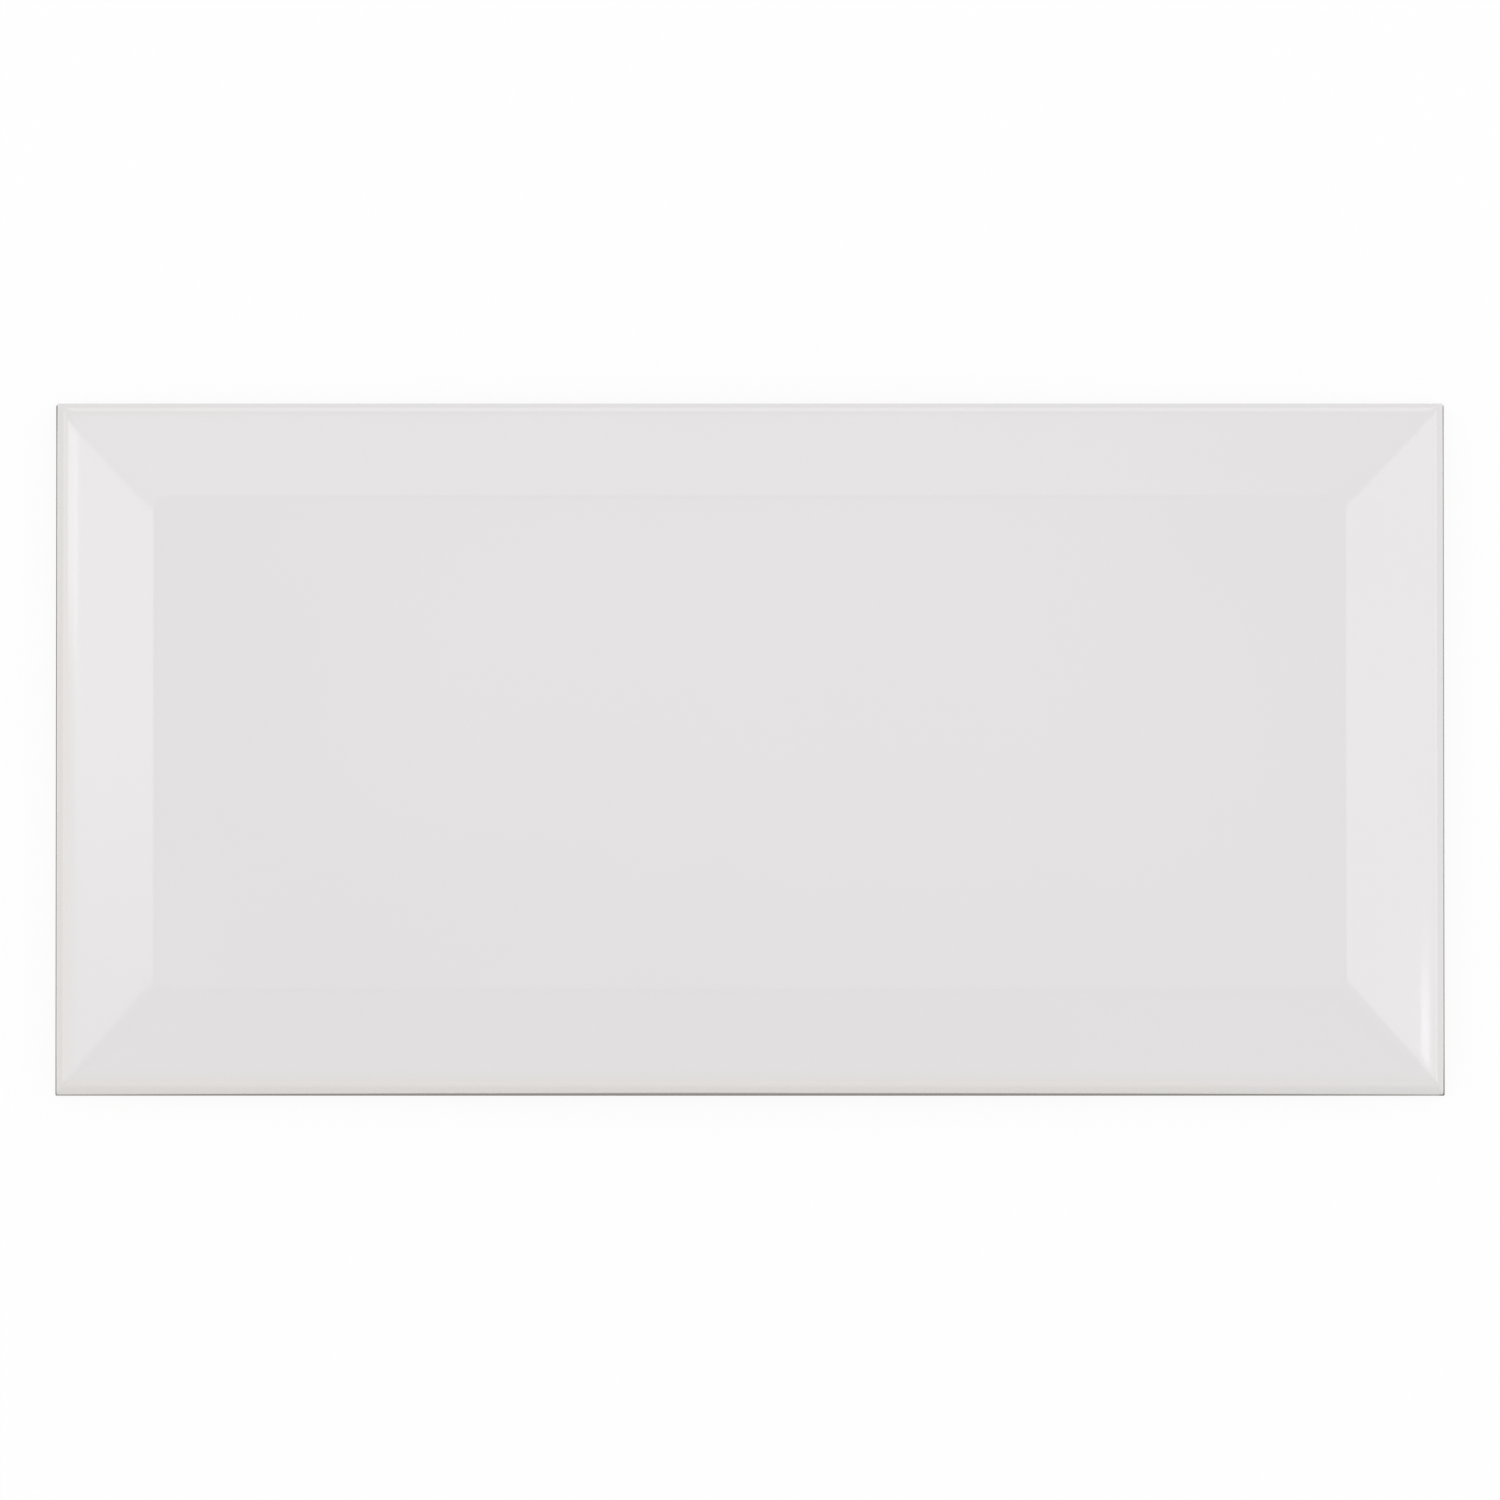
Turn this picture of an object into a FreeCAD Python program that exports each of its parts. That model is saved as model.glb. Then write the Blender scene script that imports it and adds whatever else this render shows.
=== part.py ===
import FreeCAD, Part

import os

# A bevelled wall tile: one piece of pressed clay, fired and glazed. It lies on its back,
# with x along its length, y along its width, z up out of the glazed face, and the origin
# in the middle of the back. All sizes are in millimetres.

Vector = FreeCAD.Vector
same_place = 1e-6  # lengths that differ by less than this are taken as equal

# The face and its outline
tile_length = 152.4
tile_width = 76.2
rim_height = 4.6  # back to the line where a bevel plane and a side plane meet
bevel_width = 10.8  # seen from straight above
bevel_rise = 3.4  # that line to the flat field
lip_radius = 2.2  # the glazed lip, where a bevel rolls over into a side
arris_radius = 2.0  # the soft line between a bevel and the field
corner_radius = 0.3  # the upright corners and the hips that climb from them

# The back, which is pressed with rows of shallow pockets so that the adhesive keys to it
back_radius = 0.5  # the worn edge round the back
pocket_size = 10.6
pocket_depth = 0.8
pocket_draft = 0.4  # how far a pocket's wall leans in on its way to the floor
pocket_corner = 1.0
rib_width = 2.1  # the raised rib between two pockets
least_border = 6.5  # plain rim round the pockets, at its narrowest


def lies_at(edge, height):
    """Whether both ends of an edge are at one height."""
    return all(abs(vertex.Point.z - height) < same_place for vertex in edge.Vertexes)


def lengthwise_edges(bar, run, height):
    """The edges at one height that run the whole length of a bar."""
    level_edges = [edge for edge in bar.Edges if lies_at(edge, height)]
    return [edge for edge in level_edges if abs(edge.BoundBox.YLength - run) < same_place]


def bevelled_bar(span, run):
    """A bar along y whose section is the tile's: upright sides, bevelled shoulders and a flat top."""
    side = span / 2
    field = side - bevel_width
    top = rim_height + bevel_rise
    corners = [
        Vector(-side, 0, 0),
        Vector(side, 0, 0),
        Vector(side, 0, rim_height),
        Vector(field, 0, top),
        Vector(-field, 0, top),
        Vector(-side, 0, rim_height),
    ]
    section = Part.Face(Part.makePolygon(corners + corners[:1]))
    section.translate(Vector(0, -run / 2, 0))
    bar = section.extrude(Vector(0, run, 0))
    bar = bar.makeFillet(lip_radius, lengthwise_edges(bar, run, rim_height))
    return bar.makeFillet(arris_radius, lengthwise_edges(bar, run, top))


def mitre_edges(body):
    """The upright corners and the hips above them, where the long and the short sides meet."""
    long_side_lead = (tile_length - tile_width) / 2
    found = []
    for edge in body.Edges:
        middle = edge.valueAt((edge.FirstParameter + edge.LastParameter) / 2)
        if abs(abs(middle.x) - abs(middle.y) - long_side_lead) < same_place:
            found.append(edge)
    return found


def bevelled_body():
    """Two crossed bars share the tile's body, so that the four bevels mitre at its corners."""
    overrun = bevel_width
    short_bar = bevelled_bar(tile_length, tile_width + 2 * overrun)
    long_bar = bevelled_bar(tile_width, tile_length + 2 * overrun)
    long_bar.rotate(Vector(0, 0, 0), Vector(0, 0, 1), 90)
    body = short_bar.common(long_bar).Solids[0]
    body = body.makeFillet(corner_radius, mitre_edges(body))
    back_outline = [edge for edge in body.Edges if lies_at(edge, 0)]
    return body.makeFillet(back_radius, back_outline)


def pocket():
    """One pocket of the back: its mouth is on the back plane and its walls lean in towards the floor."""
    mouth = pocket_size / 2
    floor = mouth - pocket_draft
    wedge = Part.makeWedge(-mouth, 0, -mouth, -floor, -floor, mouth, pocket_depth, mouth, floor, floor)
    wedge.rotate(Vector(0, 0, 0), Vector(1, 0, 0), 90)
    rising_edges = [edge for edge in wedge.Edges if edge.BoundBox.ZLength > pocket_depth / 2]
    return wedge.makeFillet(pocket_corner, rising_edges)


def centred_places(span):
    """The centres of as many pockets in a row as fit a span between its plain borders."""
    pitch = pocket_size + rib_width
    count = int((span - 2 * least_border + rib_width) // pitch)
    first = -(count - 1) * pitch / 2
    return [first + place * pitch for place in range(count)]


def pocket_rows():
    """The whole pattern of pockets, centred on the back."""
    one = pocket()
    places = [Vector(x, y, 0) for x in centred_places(tile_length) for y in centred_places(tile_width)]
    return [one.translated(place) for place in places]


def wall_tile():
    """The finished tile, with its bevelled face and its keyed back."""
    return bevelled_body().cut(pocket_rows()).Solids[0]


os.makedirs("parts", exist_ok=True)
wall_tile().exportStep("parts/wall_tile.step")
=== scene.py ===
import math

import bmesh
import bpy
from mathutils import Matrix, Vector, noise


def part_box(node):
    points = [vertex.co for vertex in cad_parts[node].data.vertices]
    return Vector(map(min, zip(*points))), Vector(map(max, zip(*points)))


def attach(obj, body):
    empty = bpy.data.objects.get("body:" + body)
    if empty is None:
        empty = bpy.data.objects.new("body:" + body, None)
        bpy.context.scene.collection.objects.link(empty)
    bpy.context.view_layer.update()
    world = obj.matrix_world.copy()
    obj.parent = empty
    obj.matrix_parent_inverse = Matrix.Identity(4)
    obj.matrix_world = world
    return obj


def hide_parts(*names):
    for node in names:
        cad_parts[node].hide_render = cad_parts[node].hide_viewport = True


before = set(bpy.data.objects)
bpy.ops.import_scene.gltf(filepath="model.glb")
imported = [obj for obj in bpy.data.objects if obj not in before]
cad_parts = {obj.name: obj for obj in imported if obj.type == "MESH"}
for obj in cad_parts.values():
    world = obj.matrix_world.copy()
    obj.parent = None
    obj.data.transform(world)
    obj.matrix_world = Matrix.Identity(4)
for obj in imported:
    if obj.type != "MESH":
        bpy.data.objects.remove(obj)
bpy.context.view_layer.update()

# The tile: one slab of pale clay, pressed dry between steel dies that give it the bevels and the
# keyed back. Glaze is poured over the face, rounds its lip and hips as it melts, and stops on the
# sides in a ragged bead. Below the bead, and on the back, the fired clay is bare.
MM = 0.001
low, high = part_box("wall_tile")
half_length = (high.x - low.x) / 2
half_width = (high.y - low.y) / 2
thickness = high.z - low.z
rim_height = 4.6 * MM  # the line where the plane of a bevel meets the plane of its side
bevel_width = 10.8 * MM
lip_radius = 1.9 * MM
shoulder_radius = 14.0 * MM  # the wide easing between the lip and the bevel
shoulder_turn = math.radians(7)  # how much steeper than the bevel the shoulder starts
arris_radius = 2.0 * MM
corner_radius = 0.13 * MM  # the upright corners
hip_softness_at_rim = 0.3 * MM
hip_softness_at_field = 2.4 * MM
end_lean = 0.16 * MM  # how far each end leans in from its foot to its lip
side_lean = 0.1 * MM  # and each long side

rim_length = 2 * (half_length - end_lean)
rim_width = 2 * (half_width - side_lean)
slope = math.atan2(thickness - rim_height, bevel_width)
steepest = slope + shoulder_turn
lip_end = lip_radius * (1 - math.sin(steepest))
shoulder_axis = lip_end + shoulder_radius * math.sin(steepest)
shoulder_end = shoulder_axis - shoulder_radius * math.sin(slope)
shoulder_base = rim_height + shoulder_end * math.tan(slope) - shoulder_radius * math.cos(slope)
lip_base = shoulder_base + (shoulder_radius - lip_radius) * math.cos(steepest)
arris_reach = arris_radius * math.tan(slope / 2)
arris_start = bevel_width - arris_reach
arris_end = bevel_width + arris_reach

# The rows of the mesh lie closest where the face turns most.
lip_rows = 14
shoulder_rows = 5
bevel_rows = 14
arris_rows = 6
field_row = 0.75 * MM


def spread(start, end, steps):
    """Even places from start up to, but not including, end."""
    return [start + (end - start) * step / steps for step in range(steps)]


def rows_in_from_the_side(half_span):
    """How far in from its side each row of the mesh lies, up to the middle of the tile."""
    angles = spread(0, math.pi / 2 - steepest, lip_rows)
    lip = [lip_radius * (1 - math.cos(angle)) for angle in angles]
    shoulder = spread(lip_end, shoulder_end, shoulder_rows)
    bevel = spread(shoulder_end, arris_start, bevel_rows)
    arris = spread(arris_start, arris_end, arris_rows)
    field = spread(arris_end, half_span, round((half_span - arris_end) / field_row))
    return lip + shoulder + bevel + arris + field + [half_span]


def glaze_height(inset):
    """Height of the glaze at a distance in from the side, over lip, shoulder, bevel and field."""
    if inset < lip_end:
        return lip_base + math.sqrt(lip_radius**2 - (lip_radius - max(0, inset)) ** 2)
    if inset < shoulder_end:
        return shoulder_base + math.sqrt(shoulder_radius**2 - (shoulder_axis - inset) ** 2)
    if inset < arris_start:
        return rim_height + inset * math.tan(slope)
    if inset < arris_end:
        return thickness - arris_radius + math.sqrt(arris_radius**2 - (arris_end - inset) ** 2)
    return thickness


def soft_inset(inset_x, inset_y):
    """The lesser inset, eased across the hip: tight at the rim and wider towards the field."""
    least = min(inset_x, inset_y)
    share = min(1, least / bevel_width)
    ease = hip_softness_at_rim + (hip_softness_at_field - hip_softness_at_rim) * share
    overlap = max(0, ease - abs(inset_x - inset_y))
    return least - overlap**2 / (4 * ease)


wave_depth = 0.006 * MM
waves_per_metre = 70
level_from = 0.1  # where the noise is above this, the glaze lies level


def wave(x, y):
    """The shallow dips in the melted glaze, which never rise above the true face."""
    return wave_depth * min(0, noise.noise(Vector((x, y, 0)) * waves_per_metre) - level_from)


def round_the_corner(x, y):
    """Draws a point near an upright corner in to the corner's arc."""
    square_x = abs(x) - (rim_length / 2 - corner_radius)
    square_y = abs(y) - (rim_width / 2 - corner_radius)
    if min(square_x, square_y) <= 0:
        return x, y
    draw = max(square_x, square_y) / math.hypot(square_x, square_y)
    x = math.copysign(rim_length / 2 - corner_radius + square_x * draw, x)
    y = math.copysign(rim_width / 2 - corner_radius + square_y * draw, y)
    return x, y


tile_mesh = bmesh.new()
rows_x = rows_in_from_the_side(rim_length / 2)
rows_y = rows_in_from_the_side(rim_width / 2)
columns = 2 * (len(rows_x) - 1)
courses = 2 * (len(rows_y) - 1)
bmesh.ops.create_grid(tile_mesh, x_segments=columns, y_segments=courses, size=1)
glazed_share = tile_mesh.verts.layers.float.new("glazed")
for vert in tile_mesh.verts:
    column = round((vert.co.x + 1) / 2 * columns)
    course = round((vert.co.y + 1) / 2 * courses)
    inset_x = rows_x[min(column, columns - column)]
    inset_y = rows_y[min(course, courses - course)]
    x = math.copysign(rim_length / 2 - inset_x, column - columns / 2)
    y = math.copysign(rim_width / 2 - inset_y, course - courses / 2)
    x, y = round_the_corner(x, y)
    z = glaze_height(soft_inset(inset_x, inset_y))
    if min(inset_x, inset_y) > shoulder_end:
        z += wave(x, y)
    vert.co = (x, y, z)
    vert[glazed_share] = 1

# The sides: glaze down to the bead, then bare clay to the worn edge round the back.
glaze_thickness = 0.04 * MM
glaze_line_height = 2.85 * MM  # halfway along a side
corner_run = 2.1 * MM  # how much lower the glaze has run at the corners
corner_run_curve = 1.5
end_pool = 6 * MM  # how far from its corners the glaze has run low on an end
raggedness = 0.2 * MM
ripples_per_metre = 55
nicks_per_metre = 330
nick_share = 0.3
nick_layer = 7  # any number that takes the nicks from another part of the noise
clay_start = 0.02 * MM  # below the bead
back_radius = 0.5 * MM


def glaze_line(x, y):
    """The height at which the glaze stops at this place on a side: lowest at the corners."""
    ripple = noise.noise(Vector((x, y, 0)) * ripples_per_metre)
    nick = noise.noise(Vector((x, y, nick_layer)) * nicks_per_metre)
    past_end, past_side = half_length - abs(x), half_width - abs(y)
    if past_side < past_end:
        pooled = 1 - past_end / half_length
    else:
        pooled = max(0, 1 - past_side / end_pool)
    ragged = raggedness * (ripple + nick_share * nick)
    return glaze_line_height + ragged - corner_run * pooled**corner_run_curve


def lean_at(height):
    """The share of its lean that a side has reached at a height: none at its foot."""
    return (height - back_radius) / (lip_base - back_radius)


# Each ring below the lip has what its height is counted from, that height or a share of it, its
# share of the lean, how far it lies in from the side, and whether it is glazed.
line_lean = lean_at(glaze_line_height)
rings = []
for share in (0.75, 0.5, 0.25):
    rings.append(("line to lip", share, line_lean + (1 - line_lean) * share, 0, 1))
bead_steps = 5
for step in range(bead_steps + 1):
    angle = math.pi / 2 * step / bead_steps
    height = glaze_thickness * (1 - math.sin(angle))
    rings.append(("line", height, line_lean, glaze_thickness * (1 - math.cos(angle)), 1))
rings.append(("line", -clay_start, line_lean, glaze_thickness, 0))
for share in (0.7, 0.35, 0):
    rings.append(("foot to line", share, line_lean * share, glaze_thickness * share, 0))
back_steps = 4
for step in range(1, back_steps + 1):
    angle = math.pi / 2 * step / back_steps
    height = back_radius * (1 - math.sin(angle))
    rings.append(("back", height, 0, back_radius * (1 - math.cos(angle)), 0))

rim = [edge for edge in tile_mesh.edges if edge.is_boundary]
last_inset_x, last_inset_y = end_lean, side_lean
for base, height, lean, inset, glazed in rings:
    grown = bmesh.ops.extrude_edge_only(tile_mesh, edges=rim)["geom"]
    ring = [item for item in grown if isinstance(item, bmesh.types.BMVert)]
    rim = [item for item in grown if isinstance(item, bmesh.types.BMEdge) and item.is_boundary]
    inset_x = end_lean * lean + inset
    inset_y = side_lean * lean + inset
    for vert in ring:
        line = glaze_line(vert.co.x, vert.co.y)
        vert.co.x *= (half_length - inset_x) / (half_length - last_inset_x)
        vert.co.y *= (half_width - inset_y) / (half_width - last_inset_y)
        if base == "line to lip":
            vert.co.z = line + glaze_thickness + (lip_base - line - glaze_thickness) * height
        elif base == "line":
            vert.co.z = line + height
        elif base == "foot to line":
            vert.co.z = back_radius + (line - back_radius) * height
        else:
            vert.co.z = height
        vert[glazed_share] = glazed
    last_inset_x, last_inset_y = inset_x, inset_y
bmesh.ops.contextual_create(tile_mesh, geom=rim)

# The keyed back: rows of shallow pockets with leaning walls and rounded corners.
pocket_size = 10.6 * MM
pocket_depth = 0.8 * MM
pocket_draft = 0.4 * MM  # how far a pocket's wall leans in on its way to the floor
pocket_corner = 1.0 * MM
pocket_edge = 0.15 * MM  # the worn edges of its mouth and its floor
rib_width = 2.1 * MM
pockets_long = 11
pockets_wide = 5
pitch = pocket_size + rib_width
least_height = 0.01 * MM  # what lies lower than this is on the back
same_place = 0.001 * MM
same_centre = 0.1 * MM


def pocket_lines(count):
    """Both edges of every pocket in a row of them."""
    centres = [(place - (count - 1) / 2) * pitch for place in range(count)]
    return [centre + side * pocket_size / 2 for centre in centres for side in (-1, 1)]


def is_on_the_back(face):
    """Whether a face is part of the flat back."""
    return face.calc_center_median().z < least_height


def edges_of(faces):
    """The edges of some faces, each of them once and in the same order on every run."""
    return list(dict.fromkeys(edge for face in faces for edge in face.edges))


def corners_of(faces):
    """The corners of some faces, each of them once and in the same order on every run."""
    return list(dict.fromkeys(vert for face in faces for vert in face.verts))


for count, normal in ((pockets_long, Vector((1, 0, 0))), (pockets_wide, Vector((0, 1, 0)))):
    for line in pocket_lines(count):
        back = [face for face in tile_mesh.faces if is_on_the_back(face)]
        bmesh.ops.bisect_plane(
            tile_mesh,
            geom=back + edges_of(back) + corners_of(back),
            dist=same_place,
            plane_co=normal * line,
            plane_no=normal,
        )


def is_mouth(face):
    """Whether a face of the back fills one pocket's mouth."""
    if not is_on_the_back(face):
        return False
    centre = face.calc_center_median()
    pitches_off_x = abs((centre.x / pitch + pockets_long / 2) % 1 - 0.5)
    pitches_off_y = abs((centre.y / pitch + pockets_wide / 2) % 1 - 0.5)
    in_rows = abs(centre.x) < pockets_long * pitch / 2 and abs(centre.y) < pockets_wide * pitch / 2
    return in_rows and max(pitches_off_x, pitches_off_y) * pitch < same_centre


mouths = [face for face in tile_mesh.faces if is_mouth(face)]
bmesh.ops.bevel(
    tile_mesh,
    geom=corners_of(mouths),
    offset=pocket_corner,
    affect="VERTICES",
    segments=4,
    profile=0.5,
    material=-1,
)
mouths = [face for face in tile_mesh.faces if is_mouth(face)]
mouth_edges = edges_of(mouths)
bmesh.ops.inset_individual(tile_mesh, faces=mouths, thickness=pocket_draft, depth=-pocket_depth)
floor_edges = edges_of(mouths)
bmesh.ops.bevel(
    tile_mesh,
    geom=mouth_edges + floor_edges,
    offset=pocket_edge,
    affect="EDGES",
    segments=2,
    profile=0.5,
    material=-1,
)
bmesh.ops.recalc_face_normals(tile_mesh, faces=tile_mesh.faces)
for face in tile_mesh.faces:
    face.smooth = True


def place_in_line(face):
    """A number that puts the faces in one order, the same on every run."""
    corners = [vert.index for vert in face.verts]
    return min(corners) * len(tile_mesh.verts) + max(corners)


tile_mesh.verts.index_update()
tile_mesh.faces.sort(key=place_in_line)
mesh = bpy.data.meshes.new("glazed_tile")
tile_mesh.to_mesh(mesh)
tile_mesh.free()
tile = bpy.data.objects.new("glazed_tile", mesh)
bpy.context.scene.collection.objects.link(tile)
tile.modifiers.new("flat faces stay flat", "WEIGHTED_NORMAL")


class Shade:
    """One value in a finish. Sums and products of shades add their Math nodes to the finish."""

    def __init__(self, finish, socket):
        self.finish = finish
        self.socket = socket

    def math(self, operation, first, second=0.0):
        return self.finish.node("ShaderNodeMath", {"operation": operation}, {0: first, 1: second})

    def __add__(self, other):
        return self.math("ADD", self, other)

    def __sub__(self, other):
        return self.math("SUBTRACT", self, other)

    def __rsub__(self, other):
        return self.math("SUBTRACT", other, self)

    def __mul__(self, other):
        return self.math("MULTIPLY", self, other)

    __radd__ = __add__
    __rmul__ = __mul__

    def size(self):
        """The value without its sign."""
        return self.math("ABSOLUTE", self)

    def lesser(self, other):
        return self.math("MINIMUM", self, other)

    def greater(self, other):
        return self.math("MAXIMUM", self, other)

    def rise(self, start, end):
        """0 below start and 1 above end, with a smooth rise between."""
        settings = {"interpolation_type": "SMOOTHSTEP"}
        return self.finish.node("ShaderNodeMapRange", settings, {0: self, 1: start, 2: end})


class Finish:
    """The nodes of one material, each made by a single call."""

    def __init__(self, name):
        self.material = bpy.data.materials.new(name)
        self.material.use_nodes = True
        self.tree = self.material.node_tree
        self.tree.nodes.clear()

    def node(self, kind, settings, sockets, output=0):
        """Any node: its settings go in first, then the values or links of its sockets."""
        made = self.tree.nodes.new(kind)
        for setting, value in settings.items():
            setattr(made, setting, value)
        for socket, value in sockets.items():
            if isinstance(value, Shade):
                self.tree.links.new(value.socket, made.inputs[socket])
            else:
                made.inputs[socket].default_value = value
        return Shade(self, made.outputs[output])

    def surface(self, shader):
        """The shader that the material shows."""
        made = self.tree.nodes.new("ShaderNodeOutputMaterial")
        self.tree.links.new(shader.socket, made.inputs["Surface"])

    def noise(self, place, scale, detail=2.0, roughness=0.5):
        """Soft noise about zero, with so many features to a metre."""
        sockets = {"Vector": place, "Scale": scale, "Detail": detail, "Roughness": roughness}
        return self.node("ShaderNodeTexNoise", {}, sockets, "Fac") - 0.5

    def blend(self, factor, first, second):
        """From the first colour to the second."""
        sockets = {0: factor, 6: first, 7: second}
        return self.node("ShaderNodeMix", {"data_type": "RGBA"}, sockets, 2)

    def bump(self, relief, depth):
        """Normals that follow a relief with a depth in metres."""
        return self.node("ShaderNodeBump", {}, {"Height": relief, "Distance": depth, "Strength": 1.0})


cool_white = (0.768, 0.751, 0.758, 1)
pale_white = (0.788, 0.770, 0.777, 1)
warm_white = (0.772, 0.742, 0.715, 1)
dark_clay = (0.365, 0.34, 0.31, 1)
pale_clay = (0.49, 0.46, 0.425, 1)
# the dark colour of the shade painted on the clay at the foot of the sides
foot_shade_colour = (0.1, 0.092, 0.084, 1)
glaze_roughness = 0.12
dull_roughness = 0.4
clay_roughness = 0.9

finish = Finish("glazed_body")
place = finish.node("ShaderNodeTexCoord", {}, {}, "Object")
x, y, z = (finish.node("ShaderNodeSeparateXYZ", {}, {0: place}, axis) for axis in "XYZ")
along = x * (1 / half_length)
across = y * (1 / half_width)
from_the_end = half_length - x.size()
from_the_side = half_width - y.size()

# Where the glaze thins over the left and the lower lip, the warm clay shows through it a little.
thinnest_reach = 0.3 * MM
thin_reach = 3.0 * MM
thin_glaze = 1 - from_the_end.lesser(from_the_side).rise(thinnest_reach, thin_reach)
patches = finish.noise(place, scale=14)
towards_the_thin_side = along * -0.5 + across * -0.5 + patches * 0.4
warmth = thin_glaze * (towards_the_thin_side.rise(-0.35, 0.45) * 0.85 + 0.05)
cloud = finish.noise(place, scale=30, detail=3)
milky_white = finish.blend(cloud + 0.5, cool_white, pale_white)
glaze_colour = finish.blend(warmth, milky_white, warm_white)
orange_peel = finish.noise(place, scale=420)

# It dries out to a dull skin where it ends on the sides, except along the upper one.
dull_height = 3.0 * MM
glossy_height = 3.9 * MM
upper_side = across.rise(0.985, 0.993)
dull = (1 - z.rise(dull_height, glossy_height)) * (1 - upper_side)
glaze = finish.node(
    "ShaderNodeBsdfPrincipled",
    {},
    {
        "Base Color": glaze_colour,
        "Roughness": glaze_roughness + cloud * 0.04 + dull * dull_roughness,
        "IOR": 1.55,
        "Normal": finish.bump(orange_peel, depth=0.004 * MM),
    },
)

grit = finish.noise(place, scale=2600, detail=4, roughness=0.6)
speckle = (grit * 1.6 + 0.5 + patches * 0.3).lesser(1.0)
bare_clay = finish.blend(speckle, dark_clay, pale_clay)

# Painted shade: the bare clay is darkened towards the foot of each side, where the tile meets the
# floor, most of all halfway along the long sides.
foot_shade_start = 0.3 * MM
foot_shade_reach = 0.8 * MM
foot_shade_top = 2.1 * MM
end_foot_shade = (1 - from_the_end.rise(foot_shade_start, foot_shade_reach)) * (0.6 - along * across * 0.35)
side_foot_shade = (1 - from_the_side.rise(foot_shade_start, foot_shade_reach)) * (0.9 - along * along * 0.8)
painted_foot_shade = end_foot_shade.greater(side_foot_shade) * (1 - z.rise(foot_shade_start, foot_shade_top))
clay = finish.node(
    "ShaderNodeBsdfPrincipled",
    {},
    {
        # the painted shade at the foot darkens the bare clay here
        "Base Color": finish.blend(painted_foot_shade, bare_clay, foot_shade_colour),
        "Roughness": clay_roughness,
        "Normal": finish.bump(grit, depth=0.12 * MM),
    },
)

glazed = finish.node("ShaderNodeAttribute", {"attribute_name": "glazed"}, {}, "Fac")
skin = finish.node("ShaderNodeMixShader", {}, {0: glazed.rise(0.4, 0.6), 1: clay, 2: glaze})
finish.surface(skin)
tile.data.materials.append(finish.material)
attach(tile, "root")
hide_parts("wall_tile")


# The floor: a wide sheet of white paper under the tile. The camera, and the glaze that mirrors it,
# see it close to pure white, and it still takes the tile's shadow.
floor_radius = 3.0
floor_gap = 0.02 * MM  # keeps the sheet clear of the back
paper_as_seen = (0.96, 0.96, 0.96, 1)
paper_as_lit = (0.75, 0.75, 0.75, 1)  # what it sends back up of the light
own_white = 0.9  # the share of the seen paper that no shadow reaches
floor_mesh = bmesh.new()
bmesh.ops.create_circle(floor_mesh, cap_ends=True, segments=96, radius=floor_radius)
bmesh.ops.translate(floor_mesh, verts=floor_mesh.verts, vec=(0, 0, -floor_gap))
mesh = bpy.data.meshes.new("floor")
floor_mesh.to_mesh(mesh)
floor_mesh.free()
floor = bpy.data.objects.new("floor", mesh)
bpy.context.scene.collection.objects.link(floor)
paper = Finish("white_paper")
rays = [
    paper.node("ShaderNodeLightPath", {}, {}, f"Is {kind} Ray")
    for kind in ("Camera", "Glossy", "Transmission")
]
seen = rays[0].greater(rays[1]).greater(rays[2])
tone = paper.blend(seen, paper_as_lit, paper_as_seen)
matt = paper.node("ShaderNodeBsdfDiffuse", {}, {"Color": tone})
bright = paper.node("ShaderNodeEmission", {}, {"Color": (1, 1, 1, 1), "Strength": 1.0})
paper.surface(paper.node("ShaderNodeMixShader", {}, {0: seen * own_white, 1: matt, 2: bright}))
floor.data.materials.append(paper.material)

# The light: softboxes on all four sides and one overhead, in a pale even room. Small strips make
# the bright streaks on the left and right lips.
room_brightness = 0.771
world = bpy.data.worlds.new("pale room")
world.use_nodes = True
world.node_tree.nodes["Background"].inputs["Color"].default_value = (1, 1, 1, 1)
world.node_tree.nodes["Background"].inputs["Strength"].default_value = room_brightness
bpy.context.scene.world = world


def softbox(name, tilt, bearing, distance, size, radiance):
    """A lamp that faces the tile. Its tilt is from straight up and its bearing from the +x side."""
    width, depth = size
    lamp = bpy.data.lights.new(name, "AREA")
    lamp.shape = "RECTANGLE"
    lamp.size = width
    lamp.size_y = depth
    lamp.energy = radiance * math.pi * width * depth
    holder = bpy.data.objects.new(name, lamp)
    tilt, bearing = math.radians(tilt), math.radians(bearing)
    towards = Vector(
        (math.sin(tilt) * math.cos(bearing), math.sin(tilt) * math.sin(bearing), math.cos(tilt))
    )
    holder.location = towards * distance
    holder.rotation_euler = towards.to_track_quat("Z", "Y").to_euler()
    holder.visible_camera = False
    bpy.context.scene.collection.objects.link(holder)


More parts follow.
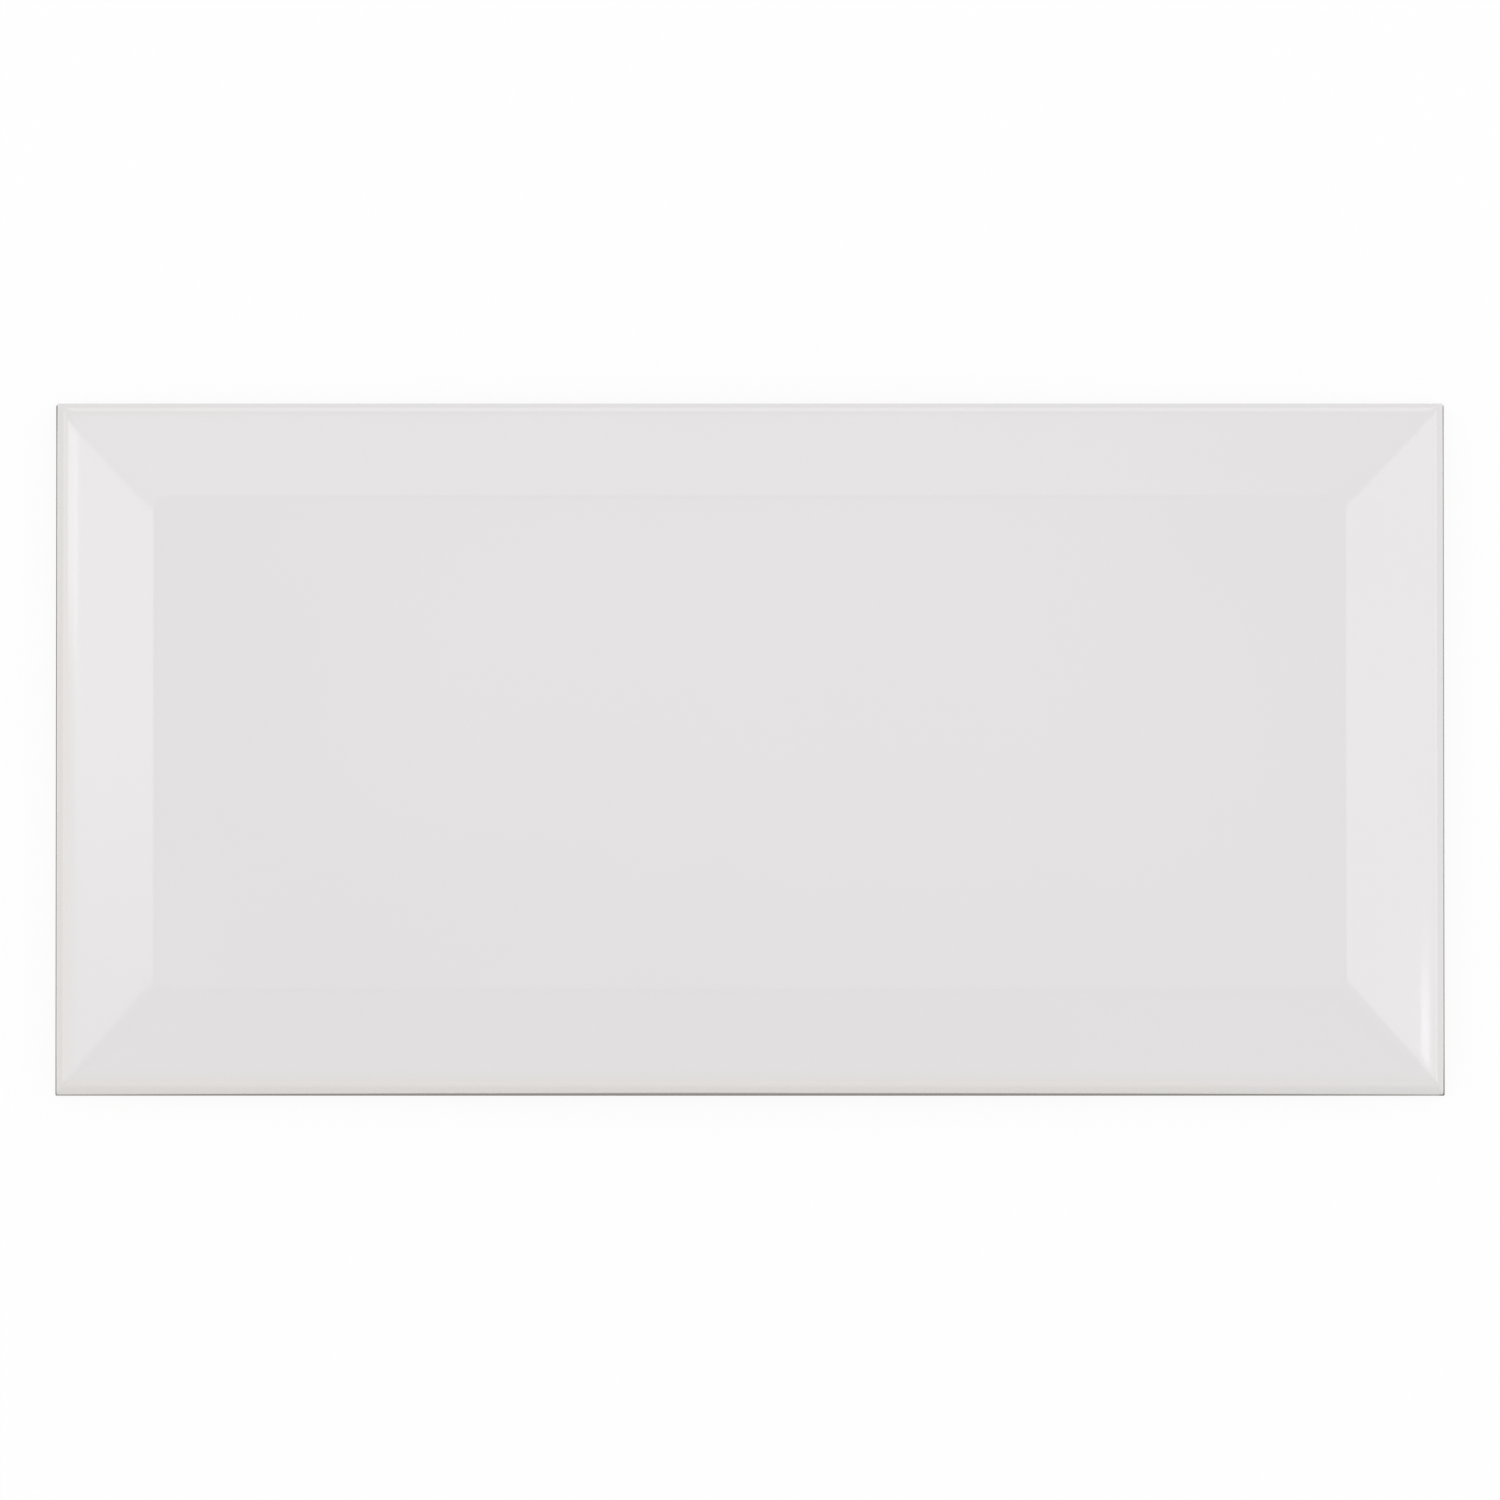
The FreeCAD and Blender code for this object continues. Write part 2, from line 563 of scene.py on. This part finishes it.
softbox("left_softbox", tilt=46, bearing=182, distance=0.6, size=(0.26, 0.3), radiance=0.76)
softbox("left_strip", tilt=43, bearing=168.8, distance=0.47, size=(0.07, 0.09), radiance=0.8)
softbox("left_lip_strip", tilt=53.5, bearing=168.3, distance=0.357, size=(0.03, 0.057), radiance=2.2)
softbox("left_low_softbox", tilt=73, bearing=174, distance=0.6, size=(0.26, 0.2), radiance=1.1)
softbox("left_hip_softbox", tilt=37.4, bearing=135, distance=0.63, size=(0.4, 0.14), radiance=0.45)
softbox("right_softbox", tilt=46, bearing=6, distance=0.6, size=(0.26, 0.3), radiance=1.14)
softbox("right_low_softbox", tilt=73, bearing=6, distance=0.6, size=(0.26, 0.2), radiance=1.5)
softbox("right_lip_strip", tilt=53.6, bearing=-3.5, distance=0.254, size=(0.012, 0.03), radiance=2.8)
softbox("top_softbox", tilt=44, bearing=93, distance=0.9, size=(0.2, 0.3), radiance=0.48)
softbox("top_low_softbox", tilt=75, bearing=90, distance=0.9, size=(0.4, 0.45), radiance=1.15)
softbox("bottom_softbox", tilt=38, bearing=-90, distance=0.9, size=(0.5, 0.26), radiance=0.3)
softbox("bottom_low_softbox", tilt=68, bearing=-90, distance=0.9, size=(0.4, 0.6), radiance=0.62)
softbox("ceiling_softbox", tilt=7, bearing=90, distance=0.6, size=(0.1, 0.05), radiance=0.6)

# The camera: high above the middle of the tile and a little towards its lower edge, with the tile's
# length across the picture.
picture_width = 1500  # pixels
tile_in_picture = 1388.3  # the pixels that the tile's length takes
distance = 5.5
aim_height = 0.7 * MM
tip = math.radians(5.9)
camera_data = bpy.data.cameras.new("camera")
camera_data.sensor_width = 36
span_seen = 2 * half_length * picture_width / tile_in_picture
camera_data.lens = camera_data.sensor_width * distance / span_seen
camera_data.clip_start = 0.05
camera_data.clip_end = 50
camera = bpy.data.objects.new("camera", camera_data)
back_to_camera = Vector((0, -math.sin(tip), math.cos(tip)))
camera.location = Vector((0, 0, aim_height)) + back_to_camera * distance
camera.rotation_euler = (tip, 0, 0)
bpy.context.scene.collection.objects.link(camera)
bpy.context.scene.camera = camera
bpy.context.scene.view_settings.view_transform = "Standard"
